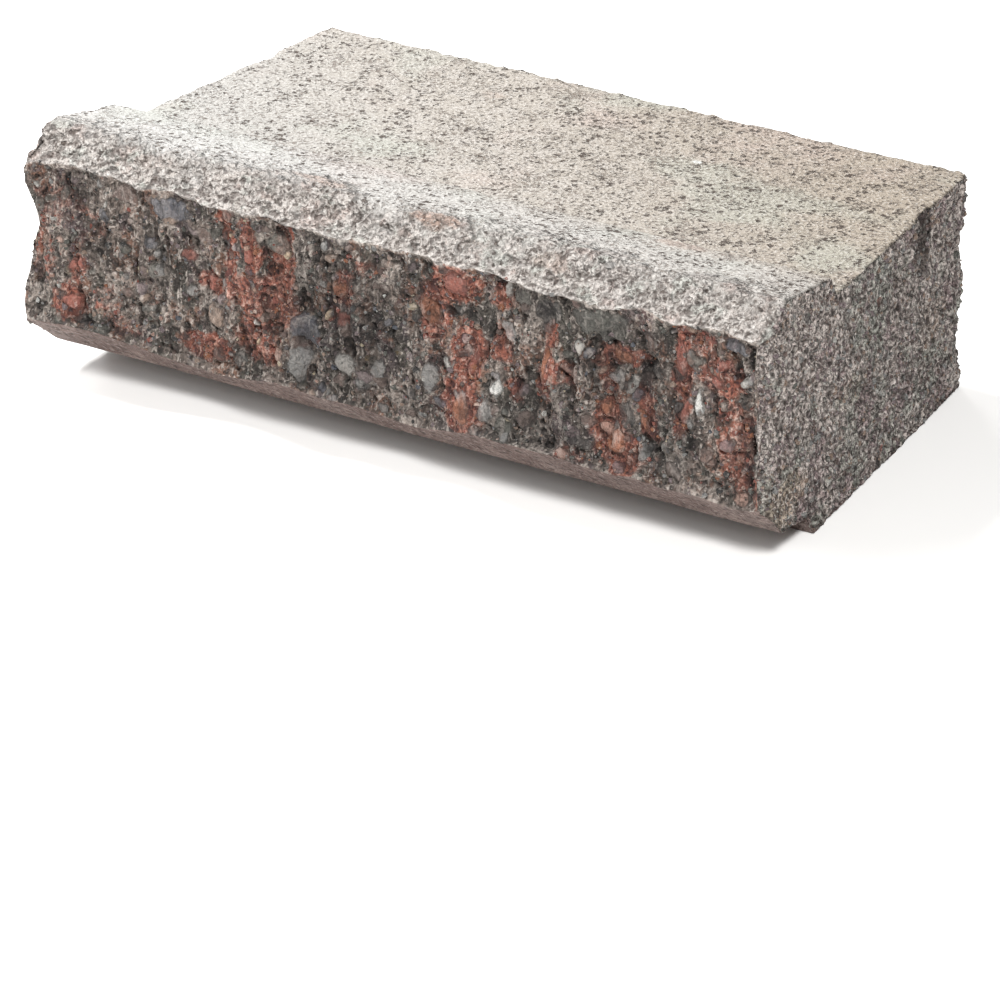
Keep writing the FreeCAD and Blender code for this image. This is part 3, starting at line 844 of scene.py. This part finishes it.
def makeSplitStone():
    # cement paste full of crushed stone, torn open: lit grains beside dark hollows, given as painted
    # highlights and painted shade, red stains and the smooth facets of stones
    material, tree = newMaterial("split_concrete")
    torn = noise(tree, 5.0, 2.0, 0.5, 0.0, (1, 1, 1.8))
    crumbs = noise(tree, 2.2, 1.0, 0.5, 14.0)
    dustAndPaintedLight = noise(tree, 7.0, 6.0, 0.66, 21.0, (1, 1, 2.2))
    streaks = noise(tree, 2.3, 3.0, 0.6, 61.0, (1, 1, 4.5))
    distance, number = grains(tree, atSize(tree, 1.9, shift=2.0))
    dense = noise(tree, 12, 5.0, 0.6, 51.0, (1, 1, 2.0))
    grey = paint(tree, "#71665f", [
        (noise(tree, 22, 4.0, 0.6, 11.0, (1, 1, 1.8)), 0.49, 0.55, 0.85, "#47453f"),
        (noise(tree, 17, 4.0, 0.6, 31.0, (1, 1, 1.8)), 0.51, 0.57, 0.7, "#775444"),
        (noise(tree, 14, 5.0, 0.6, 41.0, (1, 1, 2.0)), 0.54, 0.60, 0.75, "#978d85"),
        (dense, 0.55, 0.61, 0.7, "#3f343a"),
        (number, 0.76, 0.78, 0.35, "#8f857e"),
        (number, 0.90, 0.92, 0.35, "#484341"),
        # painted light and shade: the mottle's pale flecks (partly dust), the high crumbs and the pale
        # streaks are painted highlights; the dark flecks, low crumbs, low torn folds and dark streaks are
        # painted shade
        (dustAndPaintedLight, 0.48, 0.36, 0.75, "#38322f"),
        (dustAndPaintedLight, 0.54, 0.66, 0.6, "#a89e96"),
        (crumbs, 0.44, 0.32, 0.8, "#332e2b"),
        (torn, 0.44, 0.30, 0.8, "#332e2b"),
        (crumbs, 0.58, 0.68, 0.6, "#b3a9a1"),
        (streaks, 0.44, 0.34, 0.6, "#2f2a28"),
        (streaks, 0.57, 0.68, 0.7, "#b3aaa2"),
    ])
    reddened = paint(tree, "#875446", [
        (dense, 0.53, 0.60, 0.6, "#5f3b33"),
        (number, 0.80, 0.82, 0.5, "#9a7669"),
        # the same painted highlights and painted shade as on the grey paste
        (dustAndPaintedLight, 0.48, 0.38, 0.7, "#4a2f2a"),
        (dustAndPaintedLight, 0.54, 0.66, 0.7, "#ab7c6c"),
        (crumbs, 0.44, 0.32, 0.8, "#40292a"),
        (torn, 0.44, 0.30, 0.8, "#40292a"),
        (crumbs, 0.58, 0.68, 0.6, "#b9998e"),
        (streaks, 0.44, 0.34, 0.5, "#4a2f2a"),
        (streaks, 0.57, 0.68, 0.6, "#bc9181"),
    ])
    red = addNode(tree, "Attribute", attribute_name="red").outputs["Fac"]
    broken = total(tree, [(red, 1.0), (noise(tree, 7, 6.0, 0.7, 9.0), 1.6)])
    parts = addNode(tree, "SeparateXYZ", {"Vector": addNode(tree, "TexCoord").outputs["Object"]})
    # painted highlight: a pale line along the split face's upper edge
    upperEdge = addNode(tree, "Math", {0: mask(tree, parts.outputs["Z"], 0.098, 0.100),
                                       1: mask(tree, "inSplit", 1.2, 0.4, 0.35)}, operation="MULTIPLY")
    stoneTint = addNode(tree, "Attribute", attribute_name="stoneTint").outputs["Color"]
    facet = paint(tree, stoneTint, [
        # painted highlights and painted shade on the stones' facets, as on the paste
        (dustAndPaintedLight, 0.47, 0.37, 0.45, "#2f2a28"),
        (dustAndPaintedLight, 0.55, 0.66, 0.45, "#b3aaa3"),
        (torn, 0.42, 0.30, 0.5, "#332e2b"),
    ])
    rim = addNode(tree, "Attribute", attribute_name="stoneRim").outputs["Fac"]
    onStone = mask(tree, total(tree, [(rim, 1.0), (dustAndPaintedLight, 7.0)]), 3.7, 4.7, 0.75)
    colour = paint(tree, grey, [
        (broken, 1.02, 1.50, reddened),
        (onStone, facet),
        # painted shade from the shade ovals (along the foot all of it is painted shade, elsewhere darker
        # places) and in the deepest hollows, then the painted highlight along the upper edge
        ("shade", 0.0, 1.0, 0.48, "#1f1b1a"),
        ("recess", 2.3, 4.6, 0.75, "#1d1a19"),
        (upperEdge.outputs["Value"], "#a39a92"),
    ])
    # the bump is flatter on the stones
    rough = addNode(tree, "Math", {0: mask(tree, onStone, 1.0, 0.0), 1: 0.35, 2: 0.65},
                    operation="MULTIPLY_ADD").outputs["Value"]
    height = total(tree, [(torn, 0.0095), (crumbs, 0.0048), (distance, -0.0006)])
    height = addNode(tree, "Math", {0: height, 1: rough}, operation="MULTIPLY").outputs["Value"]
    finish(tree, colour, height, 0.9)
    return material


def makePressedStone():
    # face of the dry mix under the mould's press: pale paste skin full of small pores darkened by painted
    # shade, and rougher on the bevel, with painted highlights and shade on its relief
    material, tree = newMaterial("pressed_concrete")
    parts = addNode(tree, "SeparateXYZ", {"Vector": addNode(tree, "TexCoord").outputs["Object"]})
    across, along = parts.outputs["X"], parts.outputs["Y"]
    wavering = total(tree, [(along, 1.0), (noise(tree, 9, 3.0, 0.6, 17.0), 0.04),
                            (noise(tree, 30, 3.0, 0.6, 23.0), 0.05)])
    bevel = mask(tree, wavering, -0.028, -0.050)
    skin = noise(tree, 9, 5.0, 0.62)
    fine = noise(tree, 1.5, 1.0, 0.5, 5.0)
    sideways = total(tree, [(along, 0.8), (across, 0.8)])
    middle = mask(tree, across, -0.10, 0.02, 0.05)
    pits = total(tree, [(pores(tree, 3.0, 0.40, 2.0), 1.0), (middle, 1.0)])
    specks = total(tree, [(pores(tree, 1.7, 0.45, 12.0), 1.0), (middle, 1.0)])
    lumps = noise(tree, 4.6, 1.0, 0.5, 8.0)
    crumbs = noise(tree, 1.7, 1.0, 0.5, 14.0)
    crack = addNode(tree, "TexVoronoi", {"Vector": atSize(tree, 2.8, shift=6.0), "Scale": 1.0})
    crack = crack.outputs["Distance"]
    stoneTint = addNode(tree, "Attribute", attribute_name="stoneTint").outputs["Color"]
    colour = paint(tree, "#918b83", [
        (skin, 0.42, 0.60, 0.6, "#9a958f"),
        (sideways, -0.02, 0.18, 0.8, "#867b6d"),
        (sideways, 0.0, -0.16, 0.8, "#969592"),
        (noise(tree, 60, 3.0, 0.5, 3.0), 0.52, 0.66, 0.35, "#9c8b84"),
        (noise(tree, 52, 3.0, 0.5, 9.0), 0.52, 0.66, 0.35, "#8e948a"),
        (along, -0.030, -0.062, 0.5, "#a5a4a2"),
        ("red", 0.2, 0.9, 0.45, "#957260"),
        # painted shade on the low parts of the fine relief and in the pores, and painted highlight on its
        # high parts
        (fine, 0.48, 0.36, 0.4, "#6c635c"),
        (fine, 0.55, 0.66, 0.4, "#b7b3ae"),
        (specks, 0.84, 1.02, 0.7, "#645950"),
        (pits, 0.91, 1.06, 0.95, "#40362f"),
        ("stoneRim", 0.2, 0.8, 0.85, stoneTint),
    ])
    rough = paint(tree, "#a09a95", [
        (skin, 0.40, 0.60, 0.5, "#958e88"),
        (noise(tree, 11, 4.0, 0.6, 27.0), 0.52, 0.62, 0.5, "#959a93"),
        (noise(tree, 13, 4.0, 0.6, 37.0), 0.54, 0.64, 0.5, "#98867f"),
        ("red", 0.2, 0.9, 0.6, "#94705c"),
        # painted shade on the low crumbs and lumps and in the pits, cracks and deepest hollows, and painted
        # highlight on the high crumbs
        (crumbs, 0.45, 0.35, 0.75, "#463d38"),
        (crumbs, 0.56, 0.64, 0.5, "#bcb8b3"),
        (lumps, 0.42, 0.32, 0.7, "#463d39"),
        (pits, 0.86, 1.02, 0.6, "#40362f"),
        (crack, 0.52, 0.72, 0.4, "#463d39"),
        ("recess", 1.6, 2.8, 0.6, "#463d39"),
        ("stoneRim", 0.2, 0.8, 0.6, stoneTint),
        # painted highlight along the bevel's edge with the split face
        ("inSplit", -1.4, -0.4, 0.3, "#bab4af"),
    ])
    colour = paint(tree, colour, [(bevel, rough)])
    smoothHeight = total(tree, [(mask(tree, pits, 0.84, 1.06), -0.0012),
                                (mask(tree, specks, 0.80, 1.02), -0.0006), (fine, 0.0010)])
    roughHeight = total(tree, [(lumps, 0.0085), (crumbs, 0.0036), (crack, -0.0010)])
    height = addNode(tree, "Mix", {"Factor": bevel, "A": smoothHeight, "B": roughHeight},
                     data_type="FLOAT")
    finish(tree, colour, height.outputs["Result"], 0.85)
    return material


def makeMouldedStone():
    # sides and back drawn from the mould: coarse grit with the paste torn from between the grains, with
    # painted highlights on the grit and painted shade between the grains
    material, tree = newMaterial("side_concrete")
    lumps = noise(tree, 5.2, 1.0, 0.5)
    crumbs = noise(tree, 1.9, 1.5, 0.55, 5.0)
    distance, number = grains(tree, atSize(tree, 2.2, shift=2.0))
    stoneTint = addNode(tree, "Attribute", attribute_name="stoneTint").outputs["Color"]
    colour = paint(tree, "#b2a7a1", [
        (noise(tree, 32, 4.0, 0.6, 3.0), 0.50, 0.58, 0.8, "#8f9289"),
        (noise(tree, 26, 4.0, 0.6, 9.0), 0.50, 0.58, 0.8, "#8c7879"),
        (noise(tree, 12, 5.0, 0.6, 19.0), 0.54, 0.62, 0.5, "#a1978f"),
        (number, 0.76, 0.78, 0.3, "#979089"),
        (number, 0.90, 0.92, 0.3, "#5a514d"),
        ("stoneRim", 0.0, 0.5, 0.75, stoneTint),
        ("red", 0.1, 0.8, 0.5, "#a8917c"),
        # painted highlight on the high lumps and crumbs, and painted shade on the low ones and in the gaps
        # round the grains
        (lumps, 0.55, 0.68, 0.5, "#c0b7b0"),
        (crumbs, 0.44, 0.35, 0.75, "#332b27"),
        (lumps, 0.45, 0.33, 0.6, "#332b27"),
        (distance, 0.50, 0.70, 0.7, "#332b27"),
        (crumbs, 0.56, 0.65, 0.6, "#cdc5be"),
        # painted shade in the notch from the shade ovals, which elsewhere give darker places, and painted
        # shade in the deepest hollows
        ("shade", 0.0, 1.0, 0.8, "#2a211c"),
        ("recess", 2.6, 3.8, 0.7, "#1d1a19"),
    ])
    height = total(tree, [(lumps, 0.0135), (crumbs, 0.0082), (distance, -0.0010)])
    finish(tree, colour, height, 0.9)
    return material


def makeUnderStone():
    # faces that slid along the mould's liner: denser, browner paste with faint scrapes
    material, tree = newMaterial("chamfer_concrete")
    scrapes = noise(tree, 3.4, 2.0, 0.5, 0.0, (1.5, 1, 1))
    fine = noise(tree, 2.0, 1.0, 0.5, 5.0)
    colour = paint(tree, "#5d4d48", [
        (noise(tree, 30, 3.0, 0.5, 3.0), 0.48, 0.62, 0.6, "#6d605b"),
        (noise(tree, 14, 4.0, 0.6, 8.0), 0.50, 0.64, 0.5, "#7c6c66"),
        # painted shade on the low parts of the scrapes and the fine relief, and painted highlight on its
        # high parts
        (scrapes, 0.44, 0.33, 0.7, "#3d312d"),
        (fine, 0.42, 0.32, 0.7, "#3d312d"),
        (fine, 0.58, 0.68, 0.4, "#958781"),
    ])
    height = total(tree, [(scrapes, 0.0036), (fine, 0.0030)])
    finish(tree, colour, height, 0.8)
    return material


def makeGrit():
    # loose crushed grains held by the paste, each of one colour
    material, tree = newMaterial("crushed_grit")
    tint = addNode(tree, "Attribute", attribute_name="grainTint").outputs["Color"]
    colour = paint(tree, tint, [
        (noise(tree, 1.6, 3.0, 0.6, 3.0), 0.46, 0.34, 0.5, "#2f2a28"),
        (noise(tree, 1.4, 3.0, 0.6, 6.0), 0.54, 0.66, 0.5, "#b5ada6"),
    ])
    finish(tree, colour, noise(tree, 1.6, 1.0, 0.5), 0.9, 0.6)
    return material


splitStone = makeSplitStone()
pressedStone = makePressedStone()
mouldedStone = makeMouldedStone()
underStone = makeUnderStone()
looseGrit = makeGrit()
print("materials ready")


# Thinning keeps small faces where the relief is strong, and large ones on the plain beds
fineBlock = bpy.data.objects.new("fine_block", blockMesh)
bpy.context.scene.collection.objects.link(fineBlock)
thinning = fineBlock.modifiers.new("thinning", "DECIMATE")
thinning.ratio = min(1.0, form["mostTriangles"] / (2 * len(quads)))
thinning.use_collapse_triangulate = True
evaluated = fineBlock.evaluated_get(bpy.context.evaluated_depsgraph_get())
thinMesh = bpy.data.meshes.new_from_object(evaluated)
bpy.data.objects.remove(fineBlock)
thinMesh.name = "block"
corners = np.zeros(len(thinMesh.loops), np.int32)
thinMesh.loops.foreach_get("vertex_index", corners)
corners = corners.reshape(-1, 3)
thinPoints = np.zeros(len(thinMesh.vertices) * 3, np.float32)
thinMesh.vertices.foreach_get("co", thinPoints)
thinPoints = np.clip(thinPoints.reshape(-1, 3), *np.array(cadBox))
thinMesh.vertices.foreach_set("co", thinPoints.ravel())
middles = thinPoints[corners].mean(1) / mm
faceSplit = getNumbers(thinMesh, "inSplit")[corners].mean(1) + 0.7 * cloud(middles, 3, 61)
faceSide = getNumbers(thinMesh, "inSide")[corners].mean(1) + 0.7 * cloud(middles, 3, 62)
# numbers of the materials in the list below
slots = np.where(faceSplit > 0, 0, np.where(faceSide > 0, 2, np.where(middles[:, 2] > halfHeight, 1, 3)))
block = addPiece("wall_block", thinMesh, [splitStone, pressedStone, mouldedStone, underStone])
thinMesh.polygons.foreach_set("material_index", slots.astype(np.int32))
thinMesh.polygons.foreach_set("use_smooth", np.ones(len(corners), bool))
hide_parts("block")
print("block:", len(corners), "triangles")


# Crushed grains that stand out of the paste
grit = {
    "splitGrains": 5200, "wallGrains": 9800, "wallPieces": 2,
    "smallest": 0.45, "biggest": 2.0, "share": 2.4,     # radius, and how strongly the small ones outnumber
    "shake": 0.35,            # how far a grain may lie from its point of the grid
    "flatter": 0.3,           # what is taken off a grain's thickness
    "sunk": (0.25, 0.6),      # how deep it sits, as a share of its radius
    "uneven": (0.72, 1.12),   # length of its corners, as a share of its radius
    "splitEdge": 1.2, "wallEdge": 2.0,      # the grains keep this far from the edges
    "splitStones": 0.12, "wallStones": 0.25,   # share of them that sticks to stones
    "reddened": 1.4,          # how readily a stain reddens them
    "greyTints": {"ash": 3, "pale": 0.8, "olive": 5, "coal": 4, "slate": 1, "mauve": 4, "brown": 8,
                  "tan": 2, "cream": 0.5, "chalk": 0.2, "rose": 0.5, "brick": 0.6},
    "wallTints": {"ash": 4, "mauve": 5, "brown": 3, "tan": 4, "pale": 1.2, "olive": 2},
    "redTints": {"brick": 5, "rust": 4, "rose": 3, "brown": 3, "tan": 1, "mauve": 1.5},
}


def icosahedron():
    # twelve corners at (0, 1, golden ratio) with every sign and turn, and a face for each three neighbours,
    # which lie 2 apart
    golden = (1 + math.sqrt(5)) / 2
    corners = np.array([np.roll((0, a, b * golden), turn)
                        for turn, a, b in itertools.product(range(3), (-1, 1), (-1, 1))])
    faces = []
    for i, j, k in itertools.combinations(range(12), 3):
        a, b, c = corners[[i, j, k]]
        if max(np.linalg.norm(a - b), np.linalg.norm(b - c), np.linalg.norm(c - a)) < 2.1:
            faces.append((i, j, k) if np.cross(b - a, c - a) @ a > 0 else (i, k, j))
    return corners / np.linalg.norm(corners[0]), np.array(faces)


def addGrains(name, spots, ways, tints, seed):
    # crushed grains as one mesh: an icosahedron each, with uneven corners, turned at random, flattened
    # along the surface's normal and sunk partly into it
    rng = np.random.default_rng(seed)
    corners, faces = icosahedron()
    count = len(spots)
    radii = grit["smallest"] * (grit["biggest"] / grit["smallest"]) ** (rng.random(count) ** grit["share"])
    spins, _ = np.linalg.qr(rng.normal(size=(count, 3, 3)))
    spins *= np.sign(np.linalg.det(spins))[:, None, None]
    bodies = np.einsum("ci,nij->ncj", corners, spins) * rng.uniform(*grit["uneven"], (count, 12, 1))
    bodies *= radii[:, None, None]
    away = np.einsum("ncj,nj->nc", bodies, ways)
    bodies -= grit["flatter"] * away[..., None] * ways[:, None, :]
    bodies += (spots - ways * (radii * rng.uniform(*grit["sunk"], count))[:, None])[:, None, :]
    allFaces = (faces[None] + 12 * np.arange(count)[:, None, None]).reshape(-1, 3)
    mesh = makeMesh(name, keepInBox(bodies.reshape(-1, 3)), allFaces, even=False)
    setValues(mesh, "grainTint", np.repeat(tintValues[tints], 12, axis=0))
    addPiece(name, mesh, [looseGrit])
    print(name + ":", len(allFaces), "triangles")


def pickTints(tints, count, rng):
    # colours drawn at random, each as often as its share says
    shares = np.array(list(tints.values()), float)
    return rng.choice([tintNames.index(name) for name in tints], count, p=shares / shares.sum())


def chooseSpots(weight, count, rng):
    # points of the surface picked by weight, and places near them
    chosen = rng.choice(len(surface), count, p=weight / weight.sum())
    return chosen, surface[chosen] + rng.uniform(-grit["shake"], grit["shake"], (count, 3))


surfaceNormals = pointNormals(surface, quads)
rng = np.random.default_rng(300)
splitWeight = (inSplit > grit["splitEdge"]) * np.where(rim > 0.3, grit["splitStones"], 1.0)
count = grit["splitGrains"]
chosen, spots = chooseSpots(splitWeight, count, rng)
reddened = rng.random(count) < grit["reddened"] * red[chosen]
redPicks = pickTints(grit["redTints"], count, rng)
tints = np.where(reddened, redPicks, pickTints(grit["greyTints"], count, rng))
addGrains("split_grit", spots, surfaceNormals[chosen], tints, 310)
wallWeight = (inSide > grit["wallEdge"]) * np.where(rim > 0.2, grit["wallStones"], 1.0)
for turn in range(grit["wallPieces"]):
    chosen, spots = chooseSpots(wallWeight, grit["wallGrains"], rng)
    tints = pickTints(grit["wallTints"], len(chosen), rng)
    addGrains("wall_grit_" + str(turn + 1), spots, surfaceNormals[chosen], tints, 320 + turn)
